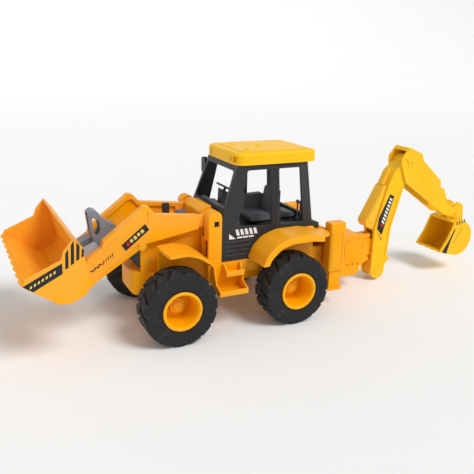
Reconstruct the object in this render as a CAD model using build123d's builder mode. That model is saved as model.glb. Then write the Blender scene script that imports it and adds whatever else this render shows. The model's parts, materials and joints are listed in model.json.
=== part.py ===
"""Toy backhoe loader, about 1:16. Millimetres, +X to the loader bucket, +Y to the left side, +Z up.

The origin is on the ground, below the middle of the whole machine. Side outlines are lists of
(x, z) corners, or (x, z, radius) where the corner is rounded.
"""

import os
from math import asin, cos, degrees, radians, sin

from build123d import *

# Driving dimensions
wheel_radius = 36.5
wheelbase = 125.0
rear_axle_x = 16.0
front_axle_x = rear_axle_x + wheelbase
tyre_inner_y = 50.0
tyre_outer_y = 77.5
rim_outer_y = 79.5
rim_seat_radius = 17.6
rim_lip_radius = 19.2
axle_radius = 2.0
running_gap = 0.06
lug_count = 15

arm_inner_y = 22.5
arm_outer_y = 30.5
tower_inner_y = 18.0
tower_outer_y = 42.0
arm_pivot = (93.0, 106.0)
bucket_pivot = (215.0, 61.0)
lever_pivot = (194.0, 84.0)
lever_tube_radius = 3.2
link_vector = (-7.0, 19.0)
bucket_half_width = 75.0
pin_radius = 2.0

cab_base_z = 65.0
cab_top_z = 160.0
cab_base_half = 41.6
cab_top_half = 35.6
cab_wall = 3.0
roof_top_z = 172.0

swing_x = -124.0
boom_foot = (-141.0, 12.5)
boom_half = 10.0
dipper_pivot = (-174.5, 144.5)
dipper_half = 12.4
rear_bucket_pivot = (-257.0, 74.0)
rear_bucket_half = 22.0
leg_half_x = 7.0



def shift(point, dx, dz):
    """Returns an (x, z) point moved by dx and dz."""
    return (point[0] + dx, point[1] + dz)


def outline_sketch(corners, plane):
    """Returns a face on a plane from (u, v) or (u, v, radius) corners."""
    points = [corner[:2] for corner in corners]
    rounds = [corner[2] if len(corner) > 2 else 0 for corner in corners]
    with BuildSketch(plane) as profile:
        with BuildLine():
            FilletPolyline(*points, radius=rounds, close=True)
        make_face()
    return profile.sketch


def slab(corners, y_low, y_high, mode=Mode.ADD):
    """Adds a plate with a side outline between two Y stations to the part being built."""
    middle = (y_low + y_high) / 2
    face = outline_sketch(corners, Plane.XZ.offset(-middle))
    extrude(to_extrude=face, amount=(y_high - y_low) / 2, both=True, mode=mode)


def cross_slab(corners, x_low, x_high, mode=Mode.ADD):
    """Adds a plate with a (y, z) outline between two X stations to the part being built."""
    middle = (x_low + x_high) / 2
    face = outline_sketch(corners, Plane.YZ.offset(middle))
    extrude(to_extrude=face, amount=(x_high - x_low) / 2, both=True, mode=mode)


def floor_slab(corners, z_low, z_high, mode=Mode.ADD):
    """Adds a plate with an (x, y) outline between two heights to the part being built."""
    face = outline_sketch(corners, Plane.XY.offset((z_low + z_high) / 2))
    extrude(to_extrude=face, amount=(z_high - z_low) / 2, both=True, mode=mode)


def block(x_span, y_span, z_span, mode=Mode.ADD):
    """Adds a box between pairs of limits to the part being built."""
    spans = (x_span, y_span, z_span)
    centre = tuple((low + high) / 2 for low, high in spans)
    sizes = tuple(high - low for low, high in spans)
    with Locations(centre):
        Box(*sizes, mode=mode)


def cross_rod(point, y_low, y_high, radius, mode=Mode.ADD):
    """Adds a round bar along Y at an (x, z) point to the part being built."""
    with BuildSketch(Plane.XZ.offset(-(y_low + y_high) / 2)) as section:
        with Locations(point):
            Circle(radius)
    extrude(to_extrude=section.sketch, amount=(y_high - y_low) / 2, both=True, mode=mode)


def post(point, z_low, z_high, radius, mode=Mode.ADD):
    """Adds an upright round bar at an (x, y) point to the part being built."""
    with BuildSketch(Plane.XY.offset(z_low)) as section:
        with Locations(point):
            Circle(radius)
    extrude(to_extrude=section.sketch, amount=z_high - z_low, mode=mode)


def save(part, label):
    """Labels a finished piece and writes its STEP file."""
    part.label = label
    export_step(part, f"parts/{label}.step")


def save_pair(part, label):
    """Writes a left piece and its mirror image on the right."""
    save(part, f"{label}_left")
    save(mirror(part, about=Plane.XZ), f"{label}_right")


# Wheels and axles


def tyre_envelope():
    """Returns the revolved outer shape that the lugs stay inside, centred on the rear axle."""
    with BuildPart() as envelope:
        with BuildSketch(Plane.XY) as section:
            with BuildLine():
                FilletPolyline(
                    (24, tyre_inner_y),
                    (wheel_radius - 2, tyre_inner_y),
                    (wheel_radius, tyre_inner_y + 3),
                    (wheel_radius, tyre_outer_y - 2.5),
                    (wheel_radius - 1.5, tyre_outer_y),
                    (24, tyre_outer_y),
                    radius=[0, 0.8, 1.5, 1.5, 0.8, 0],
                    close=True,
                )
            make_face()
        revolve(axis=Axis.Y)
    return envelope.part


def make_tyre():
    """A hollow-sided rubber tyre with two rows of slanted lugs, centred on the world Y axis."""
    carcass_radius = wheel_radius - 1.7
    middle_y = (tyre_inner_y + tyre_outer_y) / 2
    envelope = tyre_envelope()
    with BuildPart() as lug:
        lug_corners = [(-5.6, 1), (5.4, 1), (12.4, 15), (1.4, 15)]
        face = outline_sketch(lug_corners, Plane((0, middle_y, 28), x_dir=(1, 0, 0), z_dir=(0, 0, 1)))
        extrude(to_extrude=face, amount=12)
        add(envelope, mode=Mode.INTERSECT)
    inner_lug = mirror(lug.part, about=Plane.XZ.offset(-middle_y))
    step = 360 / lug_count
    with BuildPart() as tyre:
        with BuildSketch(Plane.XY):
            with BuildLine():
                FilletPolyline(
                    (rim_seat_radius, tyre_inner_y + 1.5),
                    (rim_seat_radius + 3, tyre_inner_y),
                    (carcass_radius - 2, tyre_inner_y),
                    (carcass_radius, tyre_inner_y + 3),
                    (carcass_radius, tyre_outer_y - 1.5),
                    (carcass_radius - 1, tyre_outer_y),
                    (rim_seat_radius + 3, tyre_outer_y),
                    (rim_seat_radius, tyre_outer_y - 1.5),
                    radius=[0, 1, 1.5, 2, 1.8, 1.8, 1, 0],
                    close=True,
                )
            make_face()
        revolve(axis=Axis.Y)
        for index in range(lug_count):
            add(lug.part.rotate(Axis.Y, index * step))
            add(inner_lug.rotate(Axis.Y, (index + 0.5) * step))
    return tyre.part


def make_rim():
    """A deep dish with a bright lip, a raised hub and bolt heads, centred on the world Y axis."""
    with BuildPart() as rim:
        with BuildSketch(Plane.XY):
            with BuildLine():
                Polyline(
                    (axle_radius, 46.4),
                    (axle_radius, 62),
                    (0, 62),
                    (0, 64.5),
                    (4.6, 64.5),
                    (4.6, 63.4),
                    (7.4, 63),
                    (7.8, 58.5),
                    (13.6, 57.5),
                    (15.6, 77.5),
                    (17, rim_outer_y),
                    (18.4, rim_outer_y),
                    (rim_lip_radius, rim_outer_y - 0.6),
                    (rim_lip_radius, tyre_outer_y + 0.02),
                    (rim_seat_radius, tyre_outer_y + 0.02),
                    (rim_seat_radius, tyre_inner_y + 0.5),
                    (15.6, tyre_inner_y + 0.5),
                    (12.6, 54.5),
                    (6, 55),
                    (5.5, 46.4),
                    close=True,
                )
            make_face()
        revolve(axis=Axis.Y)
        with BuildSketch(Plane.XZ.offset(-62)) as bolts:
            with PolarLocations(6.0, 6):
                Circle(0.75)
        extrude(to_extrude=bolts.sketch, amount=-2)
    return rim.part


def make_wheels():
    """Writes tyres, rims and axles of both wheel sets."""
    tyre = make_tyre()
    rim = make_rim()
    for end, axle_x in (("front", front_axle_x), ("rear", rear_axle_x)):
        hub = Location((axle_x, 0, wheel_radius))
        save_pair(tyre.moved(hub), f"{end}_tyre")
        save_pair(rim.moved(hub), f"{end}_rim")
        with BuildPart() as axle:
            cross_rod((axle_x, wheel_radius), -61.9, 61.9, axle_radius)
        save(axle.part, f"{end}_axle")


# Chassis, hood and towers


def make_chassis():
    """The lower tray with bearing bosses, side rails and the raised rear deck."""
    bearing = axle_radius + running_gap
    with BuildPart() as chassis:
        slab([(-44, 40), (-44, 64), (128, 64), (128, 58), (152, 58), (152, 40)], -32, 32)
        slab([(-41, 43), (-41, 70), (125, 70), (125, 55), (149, 55), (149, 43)], -29, 29, Mode.SUBTRACT)
        block((-27, 30.5), (-34, 34), (60, 87.8))
        block((-24, 27.5), (-29, 29), (50, 84.5), Mode.SUBTRACT)
        for side in (-1, 1):
            inner, outer = sorted((side * 32, side * 42))
            block((44, 85.98), (inner, outer), (52, 64.98))
            for axle_x in (rear_axle_x, front_axle_x):
                low, high = sorted((side * 24, side * 46))
                slab(
                    [
                        (axle_x - 8, 42),
                        (axle_x - 6, 29, 3),
                        (axle_x + 6, 29, 3),
                        (axle_x + 8, 42),
                    ],
                    low,
                    high,
                )
        for axle_x in (rear_axle_x, front_axle_x):
            cross_rod((axle_x, wheel_radius), -47, 47, bearing, Mode.SUBTRACT)
    save(chassis.part, "chassis_frame")


def make_hood():
    """The engine cover, as a shell open below, with raised side panels."""
    with BuildPart() as hood:
        slab(
            [
                (100.6, 64.02),
                (128.02, 64.02),
                (128.02, 58.02),
                (162, 58.02),
                (162, 80, 3),
                (155, 89, 6),
                (100.6, 97),
            ],
            -21,
            21,
        )
        slab(
            [(102.6, 60), (126, 60), (126, 50), (160, 50), (160, 79), (154, 86.6), (102.6, 94.6)],
            -19,
            19,
            Mode.SUBTRACT,
        )
        for side in (-1, 1):
            low, high = sorted((side * 20.7, side * 21.7))
            slab([(108, 68, 1), (148, 68, 1), (148, 84, 1), (108, 90, 1)], low, high)
        block((121.98, 129.02), (-13.02, -6.98), (80, 100), Mode.SUBTRACT)
    save(hood.part, "hood")


def make_grille():
    """The black radiator grille with open slots between its bars."""
    with BuildPart() as grille:
        block((162.02, 163.4), (-17, 17), (61, 79.5))
        for row in range(5):
            low = 63 + row * 3.2
            block((162.5, 165), (-15, 15), (low, low + 1.8), Mode.SUBTRACT)
    save(grille.part, "front_grille")


def make_nose():
    """The rounded lower nose, open behind."""
    with BuildPart() as nose:
        floor_slab([(152.02, -22), (171.5, -22, 9), (171.5, 22, 9), (152.02, 22)], 33, 58)
        fillet(nose.faces().sort_by(Axis.Z)[0].edges().filter_by(lambda edge: edge.center().X > 160), 6)
        floor_slab([(150, -19), (168.5, -19, 7), (168.5, 19, 7), (150, 19)], 40, 55.5, Mode.SUBTRACT)
    save(nose.part, "nose_bumper")


def make_stack():
    """The flat exhaust stub that stands in the hood."""
    with BuildPart() as stack:
        block((122, 129), (-13, -7), (86, 117))
        fillet(stack.edges().filter_by(Axis.Z), 1.5)
        block((123.5, 127.5), (-11.5, -8.5), (112, 120), Mode.SUBTRACT)
    save(stack.part, "exhaust_stack")


def make_air_cleaner():
    """A low round dome that follows the slope of the hood."""
    with BuildPart() as dome:
        post((113, 0), 90, 111.5, 6)
        fillet(dome.faces().sort_by(Axis.Z)[-1].edges(), 3.5)
        slab([(90, 80), (90, 98.6), (100.6, 97.02), (155, 89.02), (155, 80)], -10, 10, Mode.SUBTRACT)
    save(dome.part, "air_cleaner")


def make_front_fender():
    """An arched blade over the front wheel, with its inner skirt panel."""
    skirt_y = 32.02
    with BuildPart() as fender:
        blade = [
            (98, 66),
            (107, 76.5, 20),
            (119, 84.5, 20),
            (132, 88.5, 20),
            (150, 87.5),
            (150, 84.9),
            (132, 85.9, 20),
            (120.5, 82.2, 20),
            (109, 74.6, 20),
            (99.5, 64.3),
        ]
        slab(blade, skirt_y, 68)
        slab(
            [(98, 50), (98, 66), (107, 76, 20), (119, 84, 20), (132, 87, 20), (149, 86), (149, 50)],
            skirt_y,
            34.4,
        )
        block((90, 100.1), (30, 42.2), (40, 95), Mode.SUBTRACT)
        floor_slab([(90, 69), (90, 48), (111, 69)], 40, 95, Mode.SUBTRACT)
        floor_slab([(152, 30), (152, 69), (149, 69)], 40, 95, Mode.SUBTRACT)
    save_pair(fender.part, "front_fender")


def make_tower():
    """A hollow post that carries one loader arm in a slot between two cheeks."""
    top_z = 118.0
    with BuildPart() as tower:
        slab(
            [(86, 64.02), (86, top_z, 6.9), (100, top_z, 6.9), (100, 64.02)],
            tower_inner_y,
            tower_outer_y,
        )
        block((86, 100), (32.02, tower_outer_y), (48, 66))
        block((84, 102), (arm_inner_y - 0.3, arm_outer_y + 0.3), (90, top_z + 5), Mode.SUBTRACT)
        block((88, 98), (arm_inner_y - 0.3, tower_outer_y - 2), (60, 88), Mode.SUBTRACT)
        block((96, 102), (31.5, 39), (70, 88), Mode.SUBTRACT)
        cross_rod(arm_pivot, tower_inner_y - 1, tower_outer_y - 2, pin_radius, Mode.SUBTRACT)
        block((88.8, 94.2), (40, 44), (102.2, 107.8), Mode.SUBTRACT)
    save_pair(tower.part, "arm_tower")


def make_cowl():
    """The bridge between the towers, in front of the windscreen."""
    with BuildPart() as cowl:
        slab(
            [(87, 98), (87, 117.5), (93, 118.5, 3), (100.5, 113, 4), (100.5, 98)],
            -tower_inner_y + 0.02,
            tower_inner_y - 0.02,
        )
        slab(
            [(89.5, 90), (89.5, 115.2), (92.5, 115.8), (98, 111.8), (98, 90)],
            -15.5,
            15.5,
            Mode.SUBTRACT,
        )
    save(cowl.part, "cowl_bridge")


def make_arm_pins():
    """One short pin in each tower for the loader arms."""
    with BuildPart() as pins:
        for side in (-1, 1):
            low, high = sorted((side * tower_inner_y, side * (tower_outer_y - 2.2)))
            cross_rod(arm_pivot, low, high, pin_radius)
    save(pins.part, "arm_pivot_pins")


def make_step():
    """Two open treads below the cab door, on a back plate with end gussets."""
    with BuildPart() as step:
        block((66, 97), (42.02, 44.2), (37, 64.5))
        cross_slab([(44, 37.5), (64, 37.5), (64, 43), (62.6, 43), (62.6, 39.2), (44, 39.2)], 66, 97)
        cross_slab([(44, 54), (55, 54), (55, 59.5), (53.6, 59.5), (53.6, 55.8), (44, 55.8)], 66, 86)
        for gusset_x in (66, 95.2):
            cross_slab(
                [(44, 37.5), (64, 37.5), (64, 43), (54, 47), (47, 64.5), (44, 64.5)],
                gusset_x,
                gusset_x + 1.8,
            )
        cross_slab([(44, 54), (55, 54), (55, 59.5), (47, 64.5), (44, 64.5)], 84.2, 86)
    save_pair(step.part, "step")


# Cab


def cab_half_width(height):
    """Returns the half width of the leaning cab side at a height."""
    share = (height - cab_base_z) / (cab_top_z - cab_base_z)
    return cab_base_half + (cab_top_half - cab_base_half) * share


def cab_solid(corners, inset):
    """Returns a closed body with a side outline and both sides leaning in."""
    low_z = 55.0
    high_z = 170.0
    low_half = cab_half_width(low_z) - inset
    high_half = cab_half_width(high_z) - inset
    with BuildPart() as body:
        slab(corners, -60, 60)
        gable = [(-low_half, low_z), (low_half, low_z), (high_half, high_z), (-high_half, high_z)]
        face = outline_sketch(gable, Plane.YZ.offset(-50))
        extrude(to_extrude=face, amount=160, mode=Mode.INTERSECT)
    return body.part


def make_cab():
    """The one-piece black cab: leaning pillars, door panels, sills and floor around open windows."""
    outer = [
        (52, cab_base_z),
        (85, cab_base_z),
        (85, 109),
        (67, cab_top_z),
        (-13, cab_top_z),
        (-20, 97),
        (-29, 94),
        (-29, 87.5),
        (-8, 91.2, 20),
        (24, 91.2, 20),
        (40, 84, 20),
    ]
    room = [
        (82, 88),
        (82, 108.6),
        (65, 157),
        (-9.5, 157),
        (-16.5, 97),
        (-16.5, 93.8),
        (22, 93.8),
        (40, 88),
    ]
    hollow = [(55.5, 60), (82, 60), (82, 86), (44, 86)]
    with BuildPart() as cab:
        add(cab_solid(outer, 0))
        add(cab_solid(room, cab_wall), mode=Mode.SUBTRACT)
        add(cab_solid(hollow, cab_wall), mode=Mode.SUBTRACT)
        slab(
            [(67.5, 99.5, 1.5), (56, 154.5, 2.5), (30, 154.5, 1.5), (29, 97, 1.5)],
            -60,
            60,
            Mode.SUBTRACT,
        )
        slab(
            [(20.5, 154.5, 1.5), (-4.5, 154.5, 1.5), (-9, 97, 1.5), (18.5, 97, 1.5)],
            -60,
            60,
            Mode.SUBTRACT,
        )
        cross_slab(
            [(-35, 117, 2), (35, 117, 2), (30.5, 154, 3), (-30.5, 154, 3)],
            50,
            95,
            Mode.SUBTRACT,
        )
        cross_slab([(-32, 102, 2), (32, 102, 2), (30, 154, 3), (-30, 154, 3)], -40, -5, Mode.SUBTRACT)
        for side in (-1, 1):
            lean = degrees(asin((cab_base_half - cab_top_half) / (cab_top_z - cab_base_z)))
            for row in range(4):
                rib_z = 70.5 + row * 4.6
                rib_y = side * (cab_half_width(rib_z) + 0.1)
                with Locations(Location((70 - row * 1.2, rib_y, rib_z), (side * lean, 0, 0))):
                    Box(25 + row * 2.4, 1.4, 1.7)
            for groove_x in (23.2, 26.4):
                rail_y = side * cab_half_width(125)
                with Locations(Location((groove_x, rail_y, 126), (side * lean, 0, 0))):
                    Box(1.2, 1.4, 60)
    save(cab.part, "cab_frame")


def make_roof():
    """The overhanging roof shell, with lamp pockets in front and low domes on top."""
    base_z = cab_top_z + 0.02
    with BuildPart() as roof:
        floor_slab([(-23, -38, 7), (69, -38, 10), (69, 38, 10), (-23, 38, 7)], base_z, roof_top_z)
        fillet(roof.faces().sort_by(Axis.Z)[-1].edges(), 3.5)
        floor_slab(
            [(-17, -33, 4), (63, -33, 4), (63, 33, 4), (-17, 33, 4)],
            base_z - 1,
            roof_top_z - 2.6,
            Mode.SUBTRACT,
        )
        floor_slab(
            [(-17, -31, 5), (60, -31, 7), (60, 31, 7), (-17, 31, 5)],
            roof_top_z - 1,
            roof_top_z + 0.6,
        )
        for side in (-1, 1):
            block((66.8, 72), (side * 31 - 3, side * 31 + 3), (162.6, 168), Mode.SUBTRACT)
            block((67.4, 72), (side * 23 - 1.2, side * 23 + 1.2), (163, 167.5), Mode.SUBTRACT)
        for dome_x, dome_y in ((48, 20), (48, -20), (26, 0)):
            with BuildSketch(Plane.XY.offset(roof_top_z)) as dome:
                with Locations((dome_x, dome_y)):
                    Circle(3.8)
            extrude(to_extrude=dome.sketch, amount=2, taper=35)
    save(roof.part, "cab_roof")


def steering_frame():
    """Returns the plane of the steering wheel, leaning back towards the driver."""
    lean = radians(62)
    return Plane((63.0, 0, 131.0), x_dir=(0, 1, 0), z_dir=(-cos(lean), 0, sin(lean)))


def make_cab_interior():
    """Dashboard, steering column, steering wheel, seats and levers."""
    with BuildPart() as dashboard:
        slab(
            [
                (62, 88.02),
                (81.8, 88.02),
                (81.8, 108),
                (79, 116),
                (74, 117),
                (72, 113, 1),
                (64, 111, 2),
                (62, 102),
            ],
            -31,
            31,
        )
        block((68, 77), (-18, -6), (112, 115.5))
        block((60, 66), (-31, 31), (80, 99), Mode.SUBTRACT)
    save(dashboard.part, "dashboard")

    with BuildPart() as column:
        slab([(65.5, 111.4), (70, 112.52), (69.1, 130.25), (60.2, 125.6)], -5, 5)
        with BuildSketch(steering_frame().offset(-2)) as socket:
            Circle(1.4 + running_gap)
        extrude(to_extrude=socket.sketch, amount=-8, mode=Mode.SUBTRACT)
    save(column.part, "steering_column")

    with BuildPart() as seat:
        block((8, 22), (-24, 10), (93.82, 95.6))
        slab([(10, 95, 1), (40, 95, 2), (39, 102, 3), (12, 101, 2), (10, 99)], -14, 14)
        slab([(10, 95), (15, 99), (9, 127, 2.5), (4, 126, 2.5), (5, 95)], -13, 13)
        block((10, 32), (-24, -16.5), (94.5, 112))
        slab([(9, 112), (33, 112), (33, 116, 2), (9, 117, 2)], -25, -16)
    save(seat.part, "driver_seat")

    with BuildPart() as rear_seat:
        block((-15.9, -4), (-9, 9), (93.82, 96))
        slab([(-15.9, 95.5), (3, 95.5), (3, 96), (-4, 100.5, 2), (-15.9, 99.5, 2)], -12, 12)
    save(rear_seat.part, "operator_seat")

    with BuildPart() as levers:
        for lever_y in (-27, -21, 21, 27):
            block((-15, -11), (lever_y - 2, lever_y + 2), (93.82, 97))
            post((-13, lever_y), 94, 113, 0.9)
            with Locations((-13, lever_y, 114)):
                Sphere(2.1)
    save(levers.part, "backhoe_levers")


def make_steering_wheel():
    """A round rim with three spokes and a hub on a short shaft."""
    plane = steering_frame()
    with BuildPart() as wheel:
        with BuildSketch(plane) as section:
            Circle(10.5)
            Circle(8.3, mode=Mode.SUBTRACT)
            Circle(2.4)
            with PolarLocations(5.4, 3, start_angle=90):
                Rectangle(7, 1.8)
        extrude(to_extrude=section.sketch, amount=1.0, both=True)
        with BuildSketch(plane.offset(-1)) as shaft:
            Circle(1.4)
        extrude(to_extrude=shaft.sketch, amount=-7)
    save(wheel.part, "steering_wheel")


def make_mirror():
    """The door mirror on the right front pillar, on a bent stem."""
    with BuildPart() as door_mirror:
        cross_slab([(-50.5, 139, 2), (-41, 137, 2), (-41, 156, 2), (-50.5, 155, 3)], 66, 69)
        slab([(67, 141), (69, 141), (78, 114), (76, 114)], -42.5, -39.5)
        block((75, 79), (-42.5, -38.7), (112, 116))
    save(door_mirror.part, "side_mirror")


def make_rear_fender():
    """The long rear fender: an arch over the wheel with a thicker outer edge."""
    top = [(56.5, 67), (52, 78, 20), (42, 88, 20), (26, 93.6, 25), (0, 94, 40)]
    with BuildPart() as fender:
        slab(
            top
            + [
                (-34, 87),
                (-34, 84.4),
                (0, 91.4, 40),
                (25.5, 91, 25),
                (40.4, 86, 18),
                (49.6, 77, 18),
                (53.9, 66),
            ],
            41.8,
            73,
        )
        block((-20, 20), (41.8, 43.8), (79, 92))
        block((-20, 20), (34.02, 43), (79, 82))
        slab(
            top
            + [
                (-34, 87),
                (-34, 80),
                (0, 86.8, 40),
                (24, 86.6, 22),
                (37, 82.4, 14),
                (47, 73.5, 14),
                (50, 67),
            ],
            71.5,
            76,
        )
        with BuildSketch(Plane.XY.offset(50)) as rear_corner:
            with BuildLine():
                Line((-40, 52), (-40, 80))
                Line((-40, 80), (2, 80))
                Line((2, 80), (2, 76))
                ThreePointArc((2, 76), (-19, 70), (-34, 52))
                Line((-34, 52), (-40, 52))
            make_face()
        extrude(to_extrude=rear_corner.sketch, amount=60, mode=Mode.SUBTRACT)
    save_pair(fender.part, "rear_fender")


# Rear frame, stabilisers and swing gear


def make_rear_frame():
    """The cross frame behind the cab that carries the stabilisers and the carriage."""
    with BuildPart() as frame:
        slab(
            [
                (-44.02, 36),
                (-56, 36),
                (-56, 78),
                (-31, 90.5),
                (-29.02, 90.5),
                (-29.02, 86.4),
                (-44.02, 79),
            ],
            -37.98,
            37.98,
        )
        slab([(-50, 40), (-53, 40), (-53, 74), (-50, 74)], -34, 34, Mode.SUBTRACT)
        slab([(-44, 66), (-50, 66), (-50, 74), (-44, 76)], -34, 34, Mode.SUBTRACT)
    save(frame.part, "rear_frame")


def make_stabiliser():
    """One fixed housing, and the leg that slides in it."""
    housing_x = (-58.0, -38.0)
    housing_y = (38.0, 51.0)
    gap = 0.35
    leg_x = (-48 - leg_half_x, -48 + leg_half_x)
    leg_y = (41.0, 49.0)
    with BuildPart() as housing:
        block(housing_x, housing_y, (40, 94))
        fillet(housing.edges().filter_by(Axis.Z), 2.5)
        fillet(housing.faces().sort_by(Axis.Z)[-1].edges(), 1.5)
        sleeve_x = (leg_x[0] - gap, leg_x[1] + gap)
        sleeve_y = (leg_y[0] - gap, leg_y[1] + gap)
        block(sleeve_x, sleeve_y, (38, 91), Mode.SUBTRACT)
    save_pair(housing.part, "stabiliser_housing")

    with BuildPart() as leg:
        block(leg_x, leg_y, (20, 72))
        block((-57, -39), (39.5, 50.5), (17, 20.5))
        fillet(leg.faces().sort_by(Axis.Z)[0].edges().filter_by(Axis.Y), 1.2)
    save_pair(leg.part, "stabiliser_leg")


def make_carriage():
    """The swing carriage behind the rear frame, with the two lugs that hold the swing post."""
    with BuildPart() as carriage:
        slab(
            [
                (-56.02, 62),
                (-80, 65),
                (-105, 65),
                (-111, 59),
                (-116, 49),
                (-114, 31),
                (-106, 26),
                (-106, 19.5, 2),
                (-100, 16, 3),
                (-72, 16, 4),
                (-56.02, 26),
            ],
            -18,
            18,
        )
        block((-109, -50), (-15, 15), (30, 58), Mode.SUBTRACT)
        block((-82, -70), (-19, -16.5), (34, 62), Mode.SUBTRACT)
        block((-82, -70), (16.5, 19), (34, 62), Mode.SUBTRACT)
        for lug_z in (27.0, 56.0):
            floor_slab(
                [(-105, -7), (swing_x - 7, -7, 6.5), (swing_x - 7, 7, 6.5), (-105, 7)],
                lug_z,
                lug_z + 4,
            )
        post((swing_x, 0), 26, 61, 2.5, Mode.SUBTRACT)
        for side in (-1, 1):
            for slot_x in (-88, -95, -102):
                low, high = sorted((side * 17, side * 19))
                block((slot_x - 2, slot_x + 2), (low, high), (28.5, 31.5), Mode.SUBTRACT)
    save(carriage.part, "swing_carriage")

    with BuildPart() as screws:
        for side in (-1, 1):
            for screw in ((-86, 61), (-102, 61), (-109, 52)):
                low, high = sorted((side * 18.02, side * 18.8))
                cross_rod(screw, low, high, 1.5)
    save(screws.part, "carriage_screws")


def make_swing_post():
    """The swing casting: a sleeve with trunnions, and an arm down to the boom foot."""
    arm_half = 5.8
    with BuildPart() as casting:
        post((swing_x, 0), 31.3, 55.7, 6)
        post((swing_x, 0), 26.5, 60.5, 2.5 - running_gap)
        slab(
            [
                (swing_x, 33),
                (swing_x, 54),
                (-131, 54, 2),
                (-137, 40, 4),
                (-149, 19),
                (-150, 12),
                (-141, 4),
                (-133, 12),
                (-132.5, 32.5),
            ],
            -arm_half,
            arm_half,
        )
        cross_rod(boom_foot, -arm_half, arm_half, 8.6)
        block((-133, -120), (-20, 20), (56, 70), Mode.SUBTRACT)
        cross_rod(boom_foot, -20, 20, pin_radius + running_gap, Mode.SUBTRACT)
    save(casting.part, "swing_post")


# Boom, dipper and rear bucket


def make_boom():
    """The boom: a channel open to the front at its foot, with a groove along its rear edge."""
    with BuildPart() as boom:
        slab(
            [
                (-131, 14),
                (-130.5, 66),
                (-145, 118),
                (-152, 134),
                (-165, 146),
                (-183, 145),
                (-169.5, 118),
                (-155.5, 66),
                (-153, 32),
                (-158, 25.5, 1),
                (-152, 21),
                (-150, 12),
            ],
            -boom_half,
            boom_half,
        )
        cross_rod(boom_foot, -boom_half, boom_half, 10)
        cross_rod(dipper_pivot, -boom_half, boom_half, 9)
        slab(
            [
                (-100, -10),
                (-100, 64),
                (-131, 64),
                (-145, 112),
                (-163, 112),
                (-152.3, 64),
                (-150.5, 34),
                (-160, 16),
                (-160, -10),
            ],
            -6.3,
            6.3,
            Mode.SUBTRACT,
        )
        cross_rod(boom_foot, -20, 20, pin_radius, Mode.SUBTRACT)
        cross_rod(dipper_pivot, -20, 20, pin_radius, Mode.SUBTRACT)
        for side in (-1, 1):
            low, high = sorted((side * (boom_half - 0.5), side * (boom_half + 1)))
            slab(
                [(-149, 28), (-151.4, 66), (-164.6, 116), (-165.6, 116), (-152.5, 66), (-150, 28)],
                low,
                high,
                Mode.SUBTRACT,
            )
            block((-142.5, -139.5), (low, high), (19.3, 20.2), Mode.SUBTRACT)
    save(boom.part, "boom")

    with BuildPart() as foot_pin:
        cross_rod(boom_foot, -boom_half + 0.2, boom_half - 0.2, pin_radius)
    save(foot_pin.part, "boom_foot_pin")

    with BuildPart() as ram:
        slab(
            [
                (-117.5, 76.5, 2),
                (-120.5, 70, 1.5),
                (-128.5, 66.6),
                (-130.8, 67.2),
                (-144.86, 117.6),
                (-141.2, 119, 1.5),
                (-138.4, 114.5, 2),
            ],
            -7.5,
            7.5,
        )
        for side in (-1, 1):
            low, high = sorted((side * 6.9, side * 8.2))
            slab([(-120.8, 78.2, 0.8), (-129.4, 74, 0.8), (-140.6, 110, 0.8), (-137.8, 110.6, 0.8)], low, high)
    save(ram.part, "boom_ram")

    with BuildPart() as rod:
        slab(
            [
                (-140.2, 119.6),
                (-144.97, 118.0),
                (-151.97, 134),
                (-154.18, 136.07),
                (-151.8, 138.2),
                (-149, 136),
            ],
            -3,
            3,
        )
    save(rod.part, "boom_ram_rod")


def make_dipper():
    """The dipper: a channel with its web along the outer edge, forked at both ends."""
    outer = [
        (-160, 143, 2),
        (-160, 151, 3),
        (-170, 163, 3),
        (-190, 154.5, 4),
        (-193.5, 146, 3),
        (-225, 119.5),
        (-226, 111.5),
        (-233, 108, 2),
        (-238, 97),
        (-240, 90, 2),
        (-253, 82),
        (-262, 76),
        (-259, 69.2),
        (-238, 74.5),
        (-169, 121, 3),
    ]
    channel = [
        (-150, 130),
        (-150, 150),
        (-158.5, 153),
        (-169, 160.5),
        (-188.5, 152.5),
        (-191.5, 144.8),
        (-222.8, 118.4),
        (-223.8, 110),
        (-231.5, 106.6),
        (-236, 96),
        (-236, 110),
        (-275, 110),
        (-275, 55),
        (-225, 55),
        (-150, 100),
    ]
    cheek_inner = boom_half + 0.35
    with BuildPart() as dipper:
        slab(outer, -dipper_half, dipper_half)
        cross_rod(rear_bucket_pivot, -dipper_half, dipper_half, 5.4)
        slab(channel, -cheek_inner, cheek_inner, Mode.SUBTRACT)
        cross_rod(dipper_pivot, -20, 20, pin_radius + running_gap, Mode.SUBTRACT)
        cross_rod(rear_bucket_pivot, -20, 20, pin_radius + running_gap, Mode.SUBTRACT)
        for side in (-1, 1):
            low, high = sorted((side * (dipper_half - 0.6), side * (dipper_half + 1)))
            for hole in ((-191, 128), (-196, 125)):
                cross_rod(hole, low, high, 0.9, Mode.SUBTRACT)
            slab([(-165, 150), (-166.2, 150), (-170.6, 143), (-169.4, 143)], low, high, Mode.SUBTRACT)
    save(dipper.part, "dipper")

    for label, pivot in (("dipper_pin", dipper_pivot), ("rear_bucket_pin", rear_bucket_pivot)):
        with BuildPart() as pin:
            cross_rod(pivot, -dipper_half - 0.6, dipper_half + 0.6, pin_radius)
        save(pin.part, label)


def rear_bucket_face(radius, top, lip, bottom, mouth):
    """Returns the side face of the digging bucket: a round back between its top and its lip."""
    centre = (-256.0, 45.0)
    back = (centre[0] - radius, centre[1])
    with BuildSketch(Plane.XZ) as profile:
        with BuildLine():
            ThreePointArc(top, back, bottom)
            Line(bottom, lip)
            Polyline(lip, *mouth, top)
        make_face()
    return profile.sketch


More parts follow.
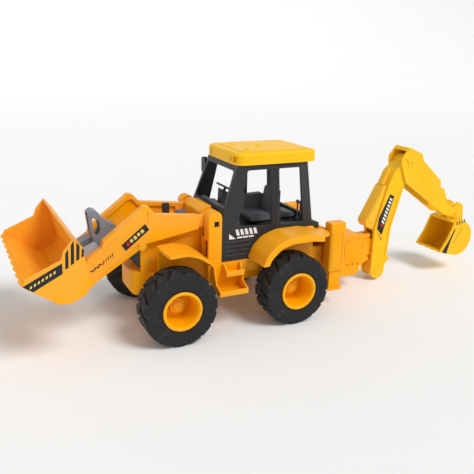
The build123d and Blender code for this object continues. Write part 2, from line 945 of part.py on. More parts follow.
def make_rear_bucket():
    """The digging bucket: a round shell with two ears, a lip strip and corner teeth."""
    outside = rear_bucket_face(24.0, (-249, 65.5), (-229.5, 28), (-256, 21), [(-230.5, 31), (-240, 45)])
    inside = rear_bucket_face(
        21.4,
        (-251, 63),
        (-229.5, 30.4),
        (-256, 23.2),
        [(-200, 30), (-200, 90), (-245, 66)],
    )
    with BuildPart() as bucket:
        extrude(to_extrude=outside, amount=rear_bucket_half, both=True)
        block((-270, -240), (-30, 30), (67.7, 80), Mode.SUBTRACT)
        extrude(to_extrude=inside, amount=rear_bucket_half - 2.2, both=True, mode=Mode.SUBTRACT)
        for side in (-1, 1):
            low, high = sorted((side * 6, side * 9.9))
            slab(
                [
                    (-250, 66.8),
                    (-250, 78, 3),
                    (-263, 88, 2.5),
                    (-271.5, 84, 2.5),
                    (-274.5, 61.4),
                    (-271.5, 61.5),
                    (-262, 66.8),
                ],
                low,
                high,
            )
        cross_rod(rear_bucket_pivot, -20, 20, pin_radius, Mode.SUBTRACT)
        for tooth_y in (-16.5, -5.5, 5.5, 16.5):
            slab([(-233, 29), (-226.4, 31.2), (-232, 26.5)], tooth_y - 2.6, tooth_y + 2.6)
    save(bucket.part, "rear_bucket")


# Loader


def make_loader_arm():
    """One cranked loader arm with a narrow tongue for the tower and a round tip for the bucket."""
    tongue_inner = arm_inner_y + 1.2
    tongue_outer = arm_outer_y - 1.2
    with BuildPart() as arm:
        slab(
            [
                (105.5, 99, 1),
                (105.5, 112.6, 1),
                (149, 117.6, 4),
                (155.5, 125.5, 3),
                (160.5, 127, 3),
                (165, 123, 4),
                (200, 96.8),
                (202, 90.5),
                (215.5, 81.3, 3),
                (222, 63),
                (218, 54.6),
                (209, 58),
                (168, 83.6),
                (158, 90.2),
            ],
            arm_inner_y,
            arm_outer_y,
        )
        cross_rod((163.5, 88), arm_inner_y, arm_outer_y + 0.8, 4.2)
        cross_rod(bucket_pivot, arm_inner_y, arm_outer_y, 7)
        slab([(106, 100.5), (93, 99.7), (93, 112.3), (106, 112)], tongue_inner, tongue_outer)
        cross_rod(arm_pivot, tongue_inner, tongue_outer, 6.3)
        pocket = [
            (110, 103, 2),
            (110, 109.5, 2),
            (150, 114, 4),
            (158, 122, 3),
            (163, 119, 3),
            (196, 94, 2),
            (210, 70, 3),
            (166, 94, 5),
        ]
        slab(pocket, arm_inner_y - 1, arm_inner_y + 2.5, Mode.SUBTRACT)
        slab(
            [(205, 65), (203.8, 64.2), (166, 88.6), (167, 89.6)],
            arm_outer_y - 0.5,
            arm_outer_y + 1,
            Mode.SUBTRACT,
        )
        slab(
            [(157, 121.5), (157.9, 121.5), (157.9, 108), (157, 108)],
            arm_outer_y - 0.5,
            arm_outer_y + 1,
            Mode.SUBTRACT,
        )
        slab(
            [(189, 97.5), (197, 91), (198.1, 92.2), (190, 98.8)],
            arm_outer_y - 0.5,
            arm_outer_y + 1,
            Mode.SUBTRACT,
        )
        cross_rod(arm_pivot, 0, 60, pin_radius + running_gap, Mode.SUBTRACT)
        cross_rod(bucket_pivot, 0, 60, pin_radius + running_gap, Mode.SUBTRACT)
        cross_rod(lever_pivot, 0, arm_inner_y + 5, lever_tube_radius, Mode.SUBTRACT)
    save_pair(arm.part, "loader_arm")


def make_cross_tube():
    """The tube between the arms that the finger lever turns on."""
    with BuildPart() as tube:
        cross_rod(lever_pivot, -arm_inner_y - 4.9, arm_inner_y + 4.9, lever_tube_radius)
    save(tube.part, "arm_cross_tube")


def make_bucket():
    """The front bucket: back, floor and sides in one shell, with a scalloped lip."""
    outer = [
        (235, 117),
        (227.5, 108),
        (226, 96),
        (222, 77, 6),
        (226, 67, 8),
        (240, 60.5, 10),
        (250, 61.5, 12),
        (277.8, 81.1),
        (275.5, 86.8),
        (246, 99.5),
        (243.5, 107),
    ]
    inner = [
        (238, 118.4),
        (230.6, 107),
        (229, 96, 6),
        (225.2, 78, 6),
        (228.6, 69, 7),
        (240, 63.2, 9),
        (249, 64.2, 10),
        (276.3, 83.8),
        (290, 90),
        (290, 125),
    ]
    floor_angle = radians(35.2)
    lip_plane = Plane(
        (277.8, 0, 81.1),
        x_dir=(cos(floor_angle), 0, sin(floor_angle)),
        z_dir=(-sin(floor_angle), 0, cos(floor_angle)),
    )
    scallop_radius = 8.5
    scallop_pitch = (bucket_half_width - scallop_radius) / 4
    with BuildPart() as bucket:
        slab(outer, -bucket_half_width, bucket_half_width)
        slab(inner, -bucket_half_width + 2.5, bucket_half_width - 2.5, Mode.SUBTRACT)
        with BuildSketch(lip_plane) as scallops:
            with GridLocations(1, scallop_pitch, 1, 9):
                with Locations((-5.5, 0)):
                    Circle(scallop_radius)
        extrude(to_extrude=scallops.sketch, amount=2.4)
    save(bucket.part, "bucket")


def make_coupler():
    """The grey quick coupler on the bucket's back, with a clear slot for the tilt link."""
    joint = shift(bucket_pivot, *link_vector)
    with BuildPart() as coupler:
        slab(
            [(201.6, 85), (203, 91.2, 1), (214.5, 86), (225.7, 94.8), (222.35, 78.9), (211, 77.5)],
            -21.7,
            21.7,
        )
        for side in (-1, 1):
            low, high = sorted((side * 15, side * 21.7))
            slab([(205, 84), (217, 84), (221.8, 77), (221, 62), (215, 54.5), (208.6, 62)], low, high)
            cross_rod(bucket_pivot, low, high, 6.4)
        block((190, 216), (-7.4, 7.4), (60, 100), Mode.SUBTRACT)
        slab([(213, 76), (213, 96), (218, 96), (218, 76)], -7.4, 7.4, Mode.SUBTRACT)
        cross_rod(joint, -12, 12, 3.4)
        cross_rod(joint, -3.4, 3.4, 6, Mode.SUBTRACT)
        cross_rod(joint, -12, 12, 1.5, Mode.SUBTRACT)
        cross_rod(bucket_pivot, -40, 40, pin_radius, Mode.SUBTRACT)
    save(coupler.part, "bucket_coupler")

    with BuildPart() as pin:
        cross_rod(bucket_pivot, -arm_outer_y - 0.5, arm_outer_y + 0.5, pin_radius)
        cross_rod(joint, -12, 12, 1.5)
    save(pin.part, "bucket_pins")


def make_lever():
    """The finger lever with its loop, and the link that joins it to the coupler."""
    lever_joint = shift(lever_pivot, *link_vector)
    coupler_joint = shift(bucket_pivot, *link_vector)
    with BuildPart() as lever:
        slab(
            [
                (179.5, 97.5, 1.5),
                (182.2, 105, 2),
                (190.5, 109, 3),
                (196, 114, 2),
                (198, 118.4, 3),
                (203.5, 121.4, 3),
                (208, 118, 3),
                (205.5, 98, 8),
                (201, 86),
                (194, 77.5, 5),
                (187.5, 84),
            ],
            -7,
            7,
        )
        slab(
            [
                (197.6, 110.4, 1.5),
                (204.6, 114.4, 1.5),
                (203, 99, 1),
                (199.4, 95.5, 1),
                (196.6, 101, 1.5),
            ],
            -10,
            10,
            Mode.SUBTRACT,
        )
        slab(
            [
                (183.2, 99),
                (183.2, 105.5),
                (188, 107.6),
                (216, 122),
                (224, 116),
                (224, 70),
                (200, 70),
                (188.5, 90),
                (186, 97),
            ],
            -3.4,
            3.4,
            Mode.SUBTRACT,
        )
        cross_rod(lever_pivot, -10, 10, lever_tube_radius + running_gap, Mode.SUBTRACT)
        cross_rod(lever_joint, -10, 10, 1.5, Mode.SUBTRACT)
        cross_rod(lever_joint, -6.6, 6.6, 1.5)
    save(lever.part, "tilt_lever")

    along = (coupler_joint[0] - lever_joint[0], coupler_joint[1] - lever_joint[1])
    length = (along[0] ** 2 + along[1] ** 2) ** 0.5
    side_step = (-along[1] / length * 2, along[0] / length * 2)
    bar = [
        (lever_joint[0] + side_step[0], lever_joint[1] + side_step[1]),
        (coupler_joint[0] + side_step[0], coupler_joint[1] + side_step[1]),
        (coupler_joint[0] - side_step[0], coupler_joint[1] - side_step[1]),
        (lever_joint[0] - side_step[0], lever_joint[1] - side_step[1]),
    ]
    with BuildPart() as link:
        slab(bar, -2.8, 2.8)
        for joint in (lever_joint, coupler_joint):
            cross_rod(joint, -2.8, 2.8, 2.9)
            cross_rod(joint, -10, 10, 1.5 + running_gap, Mode.SUBTRACT)
    save(link.part, "tilt_link")


os.makedirs("parts", exist_ok=True)
make_wheels()
make_chassis()
make_hood()
make_grille()
make_nose()
make_stack()
make_air_cleaner()
make_front_fender()
make_tower()
make_cowl()
make_arm_pins()
make_step()
make_cab()
make_roof()
make_cab_interior()
make_steering_wheel()
make_mirror()
make_rear_fender()
make_rear_frame()
make_stabiliser()
make_carriage()
make_swing_post()
make_boom()
make_dipper()
make_rear_bucket()
make_loader_arm()
make_cross_tube()
make_bucket()
make_coupler()
make_lever()
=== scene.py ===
"""Looks for the toy backhoe loader: moulded plastic on the CAD parts, printed graphics and a plain studio."""

import json
import math

import bpy
from mathutils import Matrix, Vector


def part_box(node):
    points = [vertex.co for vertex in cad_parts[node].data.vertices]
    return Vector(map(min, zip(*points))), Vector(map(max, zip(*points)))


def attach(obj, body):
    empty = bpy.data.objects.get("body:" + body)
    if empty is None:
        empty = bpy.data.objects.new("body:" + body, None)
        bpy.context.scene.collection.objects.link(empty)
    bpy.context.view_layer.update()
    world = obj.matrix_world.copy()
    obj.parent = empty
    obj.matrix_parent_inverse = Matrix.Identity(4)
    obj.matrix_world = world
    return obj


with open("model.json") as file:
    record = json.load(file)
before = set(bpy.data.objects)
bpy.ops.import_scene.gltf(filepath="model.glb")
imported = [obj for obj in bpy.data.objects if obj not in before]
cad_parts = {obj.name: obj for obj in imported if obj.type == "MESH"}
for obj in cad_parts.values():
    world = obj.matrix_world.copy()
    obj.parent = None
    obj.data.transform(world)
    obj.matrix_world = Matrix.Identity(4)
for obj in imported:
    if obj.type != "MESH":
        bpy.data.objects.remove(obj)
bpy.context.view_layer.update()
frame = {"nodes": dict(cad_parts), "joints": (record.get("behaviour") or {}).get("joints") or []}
nodes = frame["nodes"]
mm = 0.001
sides = (("left", 1), ("right", -1))


def joint_place(name):
    """Where a joint's axis is, as (x, z) in millimetres."""
    joint = next(joint for joint in frame["joints"] if joint["name"] == name)
    return (joint["pos_m"][0] / mm, joint["pos_m"][2] / mm)


def outer_face(node):
    """How far out a node reaches to the left, in millimetres."""
    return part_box(node)[1][1] / mm


# Materials


def link(tree, source, target):
    """Joins two sockets."""
    tree.links.new(source, target)


def add_node(tree, kind, **inputs):
    """Adds a shader node and sets its plain inputs by name."""
    node = tree.nodes.new(kind)
    for name, value in inputs.items():
        node.inputs[name.replace("_", " ")].default_value = value
    return node


def noise(tree, place, scale, detail=2.0, roughness=0.5):
    """Adds a noise texture on a position."""
    node = add_node(tree, "ShaderNodeTexNoise", Scale=scale, Detail=detail, Roughness=roughness)
    link(tree, place, node.inputs["Vector"])
    return node.outputs["Fac"]


def remap(tree, value, low, high, to_low, to_high):
    """Maps a value range onto another one."""
    node = add_node(tree, "ShaderNodeMapRange", From_Min=low, From_Max=high, To_Min=to_low, To_Max=to_high)
    link(tree, value, node.inputs["Value"])
    return node.outputs["Result"]


def mix_colour(tree, share, first, second):
    """Mixes two colours, each a socket or a plain colour."""
    node = tree.nodes.new("ShaderNodeMix")
    node.data_type = "RGBA"
    factor, first_socket, second_socket = node.inputs[0], node.inputs[6], node.inputs[7]
    link(tree, share, factor)
    for socket, value in ((first_socket, first), (second_socket, second)):
        if isinstance(value, tuple):
            socket.default_value = value
        else:
            link(tree, value, socket)
    return node.outputs[2]


def shade(colour, amount):
    """Returns a colour made lighter or darker, with alpha 1."""
    return tuple(min(1.0, c * amount) for c in colour[:3]) + (1.0,)


def new_material(name):
    """Makes a node material and returns it with its tree, its shader and the position on the object."""
    material = bpy.data.materials.new(name)
    material.use_nodes = True
    tree = material.node_tree
    place = tree.nodes.new("ShaderNodeTexCoord").outputs["Object"]
    return material, tree, tree.nodes["Principled BSDF"], place


def moulded_colour(tree, place, colour, wear, dust):
    """Cloudy plastic with flow marks, painted shade darkening its hollows, paler worn edges and, if asked
    for, specks of dust.
    """
    cloud = noise(tree, place, 22.0, 3.0)
    stretch = add_node(tree, "ShaderNodeMapping", Scale=(40.0, 160.0, 300.0))
    link(tree, place, stretch.inputs["Vector"])
    flow = noise(tree, stretch.outputs["Vector"], 1.0, 2.0)
    clouded = remap(tree, cloud, 0.3, 0.7, 0.0, 1.0)
    base = mix_colour(tree, clouded, shade(colour, 0.93), shade(colour, 1.04))
    base = mix_colour(tree, remap(tree, flow, 0.45, 0.75, 0.0, 0.22), base, shade(colour, 1.12))
    edge = tree.nodes.new("ShaderNodeNewGeometry").outputs["Pointiness"]
    # Painted shade: hollows, found by low pointiness, are darkened towards 0.62 of the colour.
    painted_hollow_shade = remap(tree, edge, 0.49, 0.42, 0.0, 0.3)
    base = mix_colour(tree, painted_hollow_shade, base, shade(colour, 0.62))
    worn = tuple(c + (0.9 - c) * 0.10 for c in colour) + (1.0,)
    base = mix_colour(tree, remap(tree, edge, 0.51, 0.58, 0.0, wear), base, worn)
    if dust > 0:
        specks = remap(tree, noise(tree, place, 420.0, 4.0, 0.7), 0.56, 0.78, 0.0, dust)
        base = mix_colour(tree, specks, base, (0.42, 0.41, 0.39, 1.0))
    return base


def moulded_bump(tree, place, grain):
    """A fine grain on a broader waviness."""
    fine = noise(tree, place, 2600.0, 2.0)
    broad = noise(tree, place, 160.0, 2.0)
    both = tree.nodes.new("ShaderNodeMath")
    both.operation = "MULTIPLY_ADD"
    link(tree, broad, both.inputs[0])
    both.inputs[1].default_value = 1.6
    link(tree, fine, both.inputs[2])
    bump = add_node(tree, "ShaderNodeBump", Strength=grain, Distance=0.00006)
    link(tree, both.outputs[0], bump.inputs["Height"])
    return bump.outputs["Normal"]


def moulded(name, colour, rough, grain=0.25, wear=0.35, dust=0.0, gloss=0.16):
    """Injection-moulded plastic: faint flow marks, fine grain, scuffed edges and uneven gloss."""
    material, tree, shader, place = new_material(name)
    link(tree, moulded_colour(tree, place, colour, wear, dust), shader.inputs["Base Color"])
    patches = noise(tree, place, 75.0, 4.0, 0.6)
    uneven = remap(tree, patches, 0.3, 0.75, rough - 0.05, rough + 0.09)
    link(tree, uneven, shader.inputs["Roughness"])
    link(tree, moulded_bump(tree, place, grain), shader.inputs["Normal"])
    shader.inputs["Specular IOR Level"].default_value = gloss
    return material


yellow = moulded("yellow_abs", (1.0, 0.405, 0.0), 0.35, grain=0.22, gloss=0.12)
light_yellow = moulded("light_yellow_abs", (1.0, 0.55, 0.006), 0.36, grain=0.22, gloss=0.12)
bright_yellow = moulded("rim_yellow", (1.0, 0.43, 0.0), 0.26, grain=0.15)
black = moulded("black_abs", (0.026, 0.026, 0.028), 0.44, grain=0.35, wear=0.25, gloss=0.3)
charcoal = moulded("charcoal_seat", (0.13, 0.135, 0.15), 0.5, grain=0.4, wear=0.25)
mid_grey = moulded("grey_abs", (0.235, 0.25, 0.29), 0.42, grain=0.3, wear=0.3)
pale_grey = moulded("coupler_grey", (0.36, 0.38, 0.42), 0.42, grain=0.3, wear=0.3)
panel_grey = moulded("panel_grey", (0.24, 0.25, 0.27), 0.45, grain=0.3, wear=0.3)
rubber = moulded("tyre_rubber", (0.022, 0.022, 0.024), 0.6, grain=0.6, wear=0.22, dust=0.08)
steel = moulded("pin_steel", (0.62, 0.62, 0.64), 0.32, grain=0.2, wear=0.2)
steel.node_tree.nodes["Principled BSDF"].inputs["Metallic"].default_value = 1.0
ink_black = moulded("print_black", (0.018, 0.017, 0.017), 0.34, grain=0.1, wear=0.1)
ink_white = moulded("print_white", (0.85, 0.85, 0.83), 0.36, grain=0.1, wear=0.1)
ink_red = moulded("print_red", (0.62, 0.018, 0.012), 0.36, grain=0.1, wear=0.1)
ink_gold = moulded("print_pale_gold", (0.88, 0.62, 0.16), 0.36, grain=0.1, wear=0.1)

dressed = (
    (light_yellow, ("cab_roof", "boom", "boom_ram", "boom_ram_rod", "dipper", "rear_bucket")),
    (black, ("cab_frame", "side_mirror", "exhaust_stack", "front_grille")),
    (black, ("steering_column", "steering_wheel")),
    (charcoal, ("driver_seat", "operator_seat", "backhoe_levers", "air_cleaner")),
    (panel_grey, ("dashboard",)),
    (mid_grey, ("tilt_lever", "tilt_link")),
    (pale_grey, ("bucket_coupler",)),
    (steel, ("front_axle", "rear_axle", "arm_pivot_pins", "bucket_pins", "arm_cross_tube")),
    (rubber, [name for name in nodes if "tyre" in name]),
    (bright_yellow, [name for name in nodes if "rim" in name]),
)
looks = {name: yellow for name in nodes}
for material, names in dressed:
    for name in names:
        looks[name] = material


# CAD nodes


def soften(thing, width, angle=32):
    """Rounds the sharp edges of a moulded part and keeps its flats flat."""
    weld = thing.modifiers.new("weld", "WELD")
    weld.merge_threshold = 0.000004
    bevel = thing.modifiers.new("round", "BEVEL")
    bevel.width = width
    bevel.segments = 2
    bevel.limit_method = "ANGLE"
    bevel.angle_limit = math.radians(angle)
    bevel.use_clamp_overlap = True
    flats = thing.modifiers.new("flats", "WEIGHTED_NORMAL")
    flats.keep_sharp = False
    flats.weight = 60


def smooth(data):
    """Shades a mesh smooth."""
    for polygon in data.polygons:
        polygon.use_smooth = True


small = ("pins", "pin", "screws", "axle", "grille", "levers", "steering_wheel")
small_round = 0.0002
moulded_round = 0.00042
for name, thing in nodes.items():
    thing.data.materials.clear()
    thing.data.materials.append(looks[name])
    smooth(thing.data)
    soften(thing, small_round if any(word in name for word in small) else moulded_round)


# Pieces made from points


def mesh_piece(name, points, faces, material, body):
    """Makes a mesh from points and faces, gives it a look and lets it ride on a body."""
    data = bpy.data.meshes.new(name)
    data.from_pydata(points, [], faces)
    data.validate()
    data.update()
    piece = bpy.data.objects.new(name, data)
    bpy.context.scene.collection.objects.link(piece)
    data.materials.append(material)
    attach(piece, body)
    return piece


def face_outward(data, polygon, middle):
    """Turns a closed mesh's faces out, judged by one outer face seen from a point inside."""
    if polygon.normal.dot(polygon.center - middle) < 0:
        data.flip_normals()


def slab(name, inner, outer, material, body, slot):
    """A thin closed slab between two outlines with the same number of points."""
    count = len(inner)
    faces = [tuple(range(count)), tuple(range(2 * count - 1, count - 1, -1))]
    for index in range(count):
        following = (index + 1) % count
        faces.append((index, index + count, following + count, following))
    piece = mesh_piece(name, inner + outer, faces, material, body)
    polygons = piece.data.polygons
    middle = sum((polygon.center for polygon in polygons), Vector()) / len(polygons)
    face_outward(piece.data, polygons[1], middle)
    return piece


sunk = 0.03


def both_sides(name, corners, level, lift, material, body, slot):
    """A thin plate with an (x, z) outline, lift above the Y level, on the left and on the right."""
    pieces = []
    for side_name, sign in sides:
        inner = [Vector((x, sign * (level - sunk), z)) * mm for x, z in corners]
        outer = [Vector((x, sign * (level + lift), z)) * mm for x, z in corners]
        pieces.append(slab(f"{name}_{side_name}", inner, outer, material, body, slot))
    return pieces


def raised(name, corners, level, lift, material, body, slot):
    """A moulded raised detail on both sides, with its own rounded edges."""
    for piece in both_sides(name, corners, level, lift, material, body, slot):
        soften(piece, small_round)


# Printed graphics


ink_lift = 0.1
label_lift = 0.12
over_strip = 0.08


def printed(name, corners, level, ink, body, lift=ink_lift):
    """A printed patch on both sides."""
    both_sides(name, corners, level, lift, ink, body, "black_plastic")


def between(first, second, share):
    """A point on the line between two (x, z) points."""
    return (first[0] + (second[0] - first[0]) * share, first[1] + (second[1] - first[1]) * share)


def quad_part(quad, u_low, u_high, v_low, v_high):
    """Part of a four-cornered patch, u along its first side and v across it."""

    def at(u, v):
        return between(between(quad[0], quad[1], u), between(quad[3], quad[2], u), v)

    return [at(u_low, v_low), at(u_high, v_low), at(u_high, v_high), at(u_low, v_high)]


def spaced(count, first, pitch):
    """Numbers a row of equal marks and gives where each one starts."""
    return [(row, first + row * pitch) for row in range(count)]


def shifted(corners, x, z):
    """The same outline moved by (x, z)."""
    return [(corner_x + x, corner_z + z) for corner_x, corner_z in corners]


def arm_graphics():
    """A label with bars, then a row of slanted ticks and a two-lane check, on each loader arm."""
    body = "loader_arms"
    arm_face = 30.5
    label = [(179.4, 85.4), (156.2, 103.7), (160.2, 109.8), (183.4, 91.5)]
    printed("arm_label", label, arm_face, ink_black, body, label_lift)
    bar_width = 0.10
    stagger = 0.06
    for row, low in spaced(count=5, first=0.14, pitch=0.15):
        bar = quad_part(label, low, low + bar_width, 0.28 + stagger * (row % 2), 0.74)
        ink = ink_red if row == 0 else ink_gold
        printed(f"arm_label_bar_{row}", bar, arm_face + ink_lift, ink, body, label_lift)

    ticks = [(214.6, 69.2), (190.2, 86.2), (188.6, 83.0), (213.6, 67.2)]
    tick_width = 0.035
    slant = 1.2
    for row, low in spaced(count=5, first=0.56, pitch=0.085):
        bar = quad_part(ticks, low, low + tick_width, 0.0, 1.0)
        printed(f"arm_tick_{row}", bar[:2] + shifted(bar[2:], slant, 0.0), arm_face, ink_black, body)
    check_width = 0.085
    lane_height = 0.58
    lane_shift = 0.42
    checks = 6
    for row, low in spaced(count=checks, first=0.04, pitch=0.08):
        foot = lane_shift * (row % 2)
        bar = quad_part(ticks, low, low + check_width, foot, lane_height + foot)
        ink = ink_red if row == checks - 1 else ink_black
        printed(f"arm_check_{row}", bar, arm_face, ink, body)


def bucket_graphics():
    """A strip with pale bars and four slashes on each side of the front bucket."""
    body = "bucket"
    side = outer_face("bucket")
    strip = [(277.6, 81.4), (269.6, 75.8), (245.4, 88.3), (245.4, 97.4)]
    printed("bucket_strip", strip, side, ink_black, body)
    foot = [(272.0, 78.6), (270.4, 79.4)]
    head = [(270.1, 81.6), (271.7, 80.8)]
    step = -3.2
    foot_rise = 1.65
    head_rise = 1.7
    for row in range(7):
        bar = shifted(foot, row * step, row * foot_rise) + shifted(head, row * step, row * head_rise)
        printed(f"bucket_strip_bar_{row}", bar, side + over_strip, ink_gold, body)
    slashes = (
        [(242.3, 105.6), (239.8, 109.0), (240.4, 92.8), (243.2, 91.6)],
        [(237.6, 111.9), (234.9, 116.0), (235.6, 96.3), (238.5, 94.5)],
        [(233.0, 113.9), (230.5, 111.0), (231.2, 99.3), (233.9, 97.7)],
        [(228.8, 108.6), (227.0, 106.4), (227.5, 101.2), (229.5, 100.2)],
    )
    for row, slash in enumerate(slashes):
        printed(f"bucket_slash_{row}", slash, side, ink_black, body)


def boom_graphics():
    """A tall label with white bars and a red tail on each side of the boom."""
    body = "boom"
    side = outer_face("boom")
    front_foot = (-134.2, 66.6)
    front_bend = (-135.4, 79.8)
    front_head = (-149.0, 108.2)
    rear_foot = (-142.0, 58.0)
    rear_head = (-155.4, 105.0)
    printed("boom_label", [front_foot, rear_foot, rear_head, front_head, front_bend], side, ink_black, body)
    tail = [(-134.6, 64.4), (-135.9, 62.8), (-143.4, 51.4), (-141.6, 51.2)]
    printed("boom_label_tail", tail, side, ink_red, body)
    bar_width = 0.055
    for row, low in spaced(count=9, first=0.16, pitch=0.088):
        bar = quad_part([front_foot, front_head, rear_head, rear_foot], low, low + bar_width, 0.26, 0.80)
        ink = ink_red if row == 0 else ink_white
        printed(f"boom_label_bar_{row}", bar, side + over_strip, ink, body)


def digging_bucket_graphics():
    """A curved strip, a row of slashes and a row of short bars on each side of the digging bucket."""
    body = "rear_bucket"
    side = outer_face("rear_bucket")
    strip = [(-232.6, 28.2), (-241.6, 41.4), (-249.6, 57.4), (-251.0, 56.4), (-245.2, 42.0), (-240.4, 24.8)]
    printed("digging_strip", strip, side, ink_black, body)
    slash = [(-252.6, 61.6), (-254.4, 61.9), (-252.3, 66.2), (-250.6, 65.8)]
    for row in range(4):
        printed(f"digging_slash_{row}", shifted(slash, row * -4.0, row * 0.9), side, ink_black, body)
    bar = [(-250.2, 38.2), (-251.5, 38.9), (-253.1, 41.4), (-251.8, 40.8)]
    for row in range(5):
        printed(f"digging_bar_{row}", shifted(bar, row * -2.3, row * 3.9), side, ink_black, body)


def door_print(name, corners):
    """A white patch on the leaning door panel, left and right."""
    half_width_at_sill = 41.6
    sill_height = 65.0
    lean = 6.0 / 95.0
    for side_name, sign in sides:
        outlines = []
        for height in (-sunk, ink_lift):
            outline = []
            for x, z in corners:
                half = half_width_at_sill - lean * (z - sill_height)
                outline.append(Vector((x, sign * (half + height), z)) * mm)
            outlines.append(outline)
        slab(f"{name}_{side_name}", *outlines, ink_white, "chassis", "black_plastic")


def door_graphics():
    """A wedge, five leaning bars and three dashes on each door."""
    door_print("door_wedge", [(77.0, 93.0), (77.0, 87.4), (70.0, 87.3)])
    bar = [(68.6, 90.6), (65.2, 90.5), (67.0, 96.6), (70.0, 96.7)]
    for row in range(5):
        door_print(f"door_bar_{row}", shifted(bar, row * -5.0, 0.0))
    dash = [(67.4, 89.2), (62.0, 89.0), (62.8, 87.4), (68.6, 87.5)]
    for row in range(3):
        door_print(f"door_dash_{row}", shifted(dash, row * -6.4, 0.0))


arm_graphics()
bucket_graphics()
boom_graphics()
digging_bucket_graphics()
door_graphics()


# Moulded details


def lathe(name, profile, centre, sign, material, body):
    """A ring turned about a wheel's axis from (radius, y) corners."""
    steps = 96
    count = len(profile)
    centre_x, centre_z = centre
    points = []
    faces = []
    for step in range(steps):
        angle = 2 * math.pi * step / steps
        for radius, y in profile:
            x = centre_x + radius * math.cos(angle)
            z = centre_z + radius * math.sin(angle)
            points.append(Vector((x, sign * y, z)) * mm)
        near = step * count
        far = (step + 1) % steps * count
        for index in range(count):
            following = (index + 1) % count
            faces.append((near + index, near + following, far + following, far + index))
    piece = mesh_piece(name, points, faces, material, body)
    hub = Vector((centre_x, sign * profile[0][1], centre_z)) * mm
    outermost = max(piece.data.polygons, key=lambda polygon: (polygon.center - hub).length)
    face_outward(piece.data, outermost, hub)
    smooth(piece.data)
    soften(piece, 0.0001, 40)


def sidewall_rings():
    """Two moulded rings on the outer wall of each tyre."""
    root = 77.3
    top = 77.85
    for end in ("front", "rear"):
        centre = joint_place(f"{end}_wheels_spin")
        for side_name, sign in sides:
            for row, radius in enumerate((22.4, 27.6)):
                ring = [(radius, root), (radius + 0.3, top), (radius + 0.9, top), (radius + 1.2, root)]
                name = f"{end}_sidewall_ring_{row}_{side_name}"
                lathe(name, ring, centre, sign, rubber, f"{end}_wheels")


def rectangle(x_low, x_high, z_low, z_high):
    """Corners of an upright rectangle."""
    return [(x_low, z_high), (x_high, z_high), (x_high, z_low), (x_low, z_low)]


def frame_bars(name, x_low, x_high, z_low, z_high, level, lift, width):
    """A raised rectangular frame of four bars on the chassis."""
    upright_lift = lift * 0.9
    bars = (
        ("top", rectangle(x_low, x_high, z_high - width, z_high), lift),
        ("foot", rectangle(x_low, x_high, z_low, z_low + width), lift),
        ("fore", rectangle(x_high - width, x_high, z_low, z_high), upright_lift),
        ("aft", rectangle(x_low, x_low + width, z_low, z_high), upright_lift),
    )
    for bar_name, corners, bar_lift in bars:
        raised(f"{name}_{bar_name}", corners, level, bar_lift, yellow, "chassis", "yellow_plastic")


def disc(centre, radius):
    """Corners of a circle about an (x, z) centre."""
    count = 40
    corners = []
    for step in range(count):
        angle = 2 * math.pi * step / count
        corners.append((centre[0] + radius * math.cos(angle), centre[1] + radius * math.sin(angle)))
    return corners


def boss(name, centre, radius, level, lift, body):
    """A round pad over a pivot, on both sides."""
    raised(name, disc(centre, radius), level, lift, light_yellow, body, "yellow_plastic")


def pivot_bosses():
    """Round pads at the boom's foot and at both ends of the dipper."""
    boom_foot = joint_place("boom_lift")
    boom_side = outer_face("boom")
    dipper_side = outer_face("dipper")
    foot_lift = 0.5
    boss("boom_foot_boss", boom_foot, 5.6, boom_side, foot_lift, "boom")
    boss("boom_foot_cap", boom_foot, 3.4, boom_side + foot_lift, 0.4, "boom")
    boss("dipper_boss", joint_place("dipper_swing"), 5.2, dipper_side, 0.45, "dipper")
    boss("dipper_tip_boss", joint_place("rear_bucket_curl"), 3.8, dipper_side, 0.45, "dipper")


def tower_plugs():
    """The black square plug on each arm tower."""
    tower_face = 40.0
    plug = rectangle(88.8, 94.2, 102.2, 107.8)
    raised("tower_plug", plug, tower_face, 0.4, ink_black, "chassis", "black_plastic")


def carriage_details():
    """A framed panel, two ribs and a small shelf on each side of the swing carriage."""
    side = outer_face("swing_carriage")
    frame_bars("carriage_panel", -84.0, -66.0, 33.0, 60.0, side, 0.7, 1.2)
    rib = rectangle(-77.0, -75.8, 37.0, 47.0)
    for row in range(2):
        corners = shifted(rib, row * -3.6, 0.0)
        raised(f"carriage_rib_{row}", corners, side, 0.8, yellow, "chassis", "yellow_plastic")
    shelf = [(-96.0, 58.6), (-88.0, 60.2), (-88.0, 59.0), (-96.0, 57.4)]
    raised("carriage_shelf", shelf, side, 0.6, yellow, "chassis", "yellow_plastic")


sidewall_rings()
pivot_bosses()
tower_plugs()
carriage_details()
frame_bars("housing_panel", -55.0, -41.0, 44.0, 84.0, outer_face("stabiliser_housing_left"), 0.5, 1.0)


# Studio, in metres


def paper(name, colour):
    """A plain matt studio surface with faint mottling."""
    material, tree, shader, place = new_material(name)
    cloud = remap(tree, noise(tree, place, 6.0, 3.0), 0.3, 0.7, 0.0, 1.0)
    base = mix_colour(tree, cloud, shade(colour, 0.99), shade(colour, 1.0))
    link(tree, base, shader.inputs["Base Color"])
    shader.inputs["Roughness"].default_value = 0.9
    shader.inputs["Specular IOR Level"].default_value = 0.1
    return material


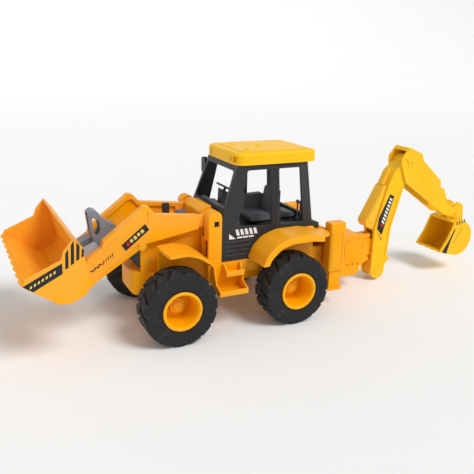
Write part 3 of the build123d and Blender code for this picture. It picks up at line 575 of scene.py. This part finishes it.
def studio_floor():
    """A flat round floor whose edge curves up all the way round into a low wall."""
    flat_radius = 2.6
    bend_radius = 2.2
    wall_height = 2.5
    bend_steps = 20
    turns = 96
    profile = [(flat_radius, 0.0)]
    for step in range(1, bend_steps + 1):
        bend = math.radians(90 * step / bend_steps)
        distance = flat_radius + bend_radius * math.sin(bend)
        profile.append((distance, bend_radius - bend_radius * math.cos(bend)))
    profile.append((flat_radius + bend_radius, wall_height))

    points = [Vector((0.0, 0.0, 0.0))]
    for distance, height in profile:
        for step in range(turns):
            angle = 2 * math.pi * step / turns
            points.append(Vector((distance * math.cos(angle), distance * math.sin(angle), height)))
    faces = []
    for step in range(turns):
        following = (step + 1) % turns
        faces.append((0, 1 + step, 1 + following))
        for row in range(len(profile) - 1):
            near = 1 + row * turns
            far = near + turns
            faces.append((near + step, far + step, far + following, near + following))
    data = bpy.data.meshes.new("floor")
    data.from_pydata(points, [], faces)
    data.update()
    smooth(data)
    data.materials.append(paper("floor_paper", (0.92, 0.92, 0.915)))
    floor = bpy.data.objects.new("floor", data)
    bpy.context.scene.collection.objects.link(floor)


def studio_light():
    """An even white surround and one distant light with soft-edged shadows."""
    world = bpy.data.worlds.new("studio")
    bpy.context.scene.world = world
    world.use_nodes = True
    background = world.node_tree.nodes["Background"]
    background.inputs["Color"].default_value = (1.0, 1.0, 1.0, 1.0)
    background.inputs["Strength"].default_value = 0.5

    data = bpy.data.lights.new("key_light", "SUN")
    data.energy = 1.9
    data.angle = math.radians(24.0)
    light = bpy.data.objects.new("key_light", data)
    bpy.context.scene.collection.objects.link(light)
    light.rotation_euler = Vector((0.38, -0.72, -0.95)).to_track_quat("-Z", "Y").to_euler()


def studio_camera():
    """A camera ahead of the machine on its left, looking back and down at it."""
    data = bpy.data.cameras.new("main_camera")
    data.sensor_width = 36.0
    data.lens = 45.37
    data.clip_start = 0.02
    data.clip_end = 50.0
    camera = bpy.data.objects.new("main_camera", data)
    bpy.context.scene.collection.objects.link(camera)
    right = Vector((-0.89660209, 0.4421328, 0.0249654))
    up = Vector((-0.11168079, -0.2803117, 0.95339014))
    forward = Vector((-0.42852315, -0.85202344, -0.3007058))
    turn = Matrix((right, up, -forward)).transposed().to_4x4()
    camera.matrix_world = Matrix.Translation((0.32404, 0.54842, 0.26846)) @ turn
    bpy.context.scene.camera = camera


studio_floor()
studio_light()
studio_camera()
bpy.context.scene.view_settings.view_transform = "Standard"
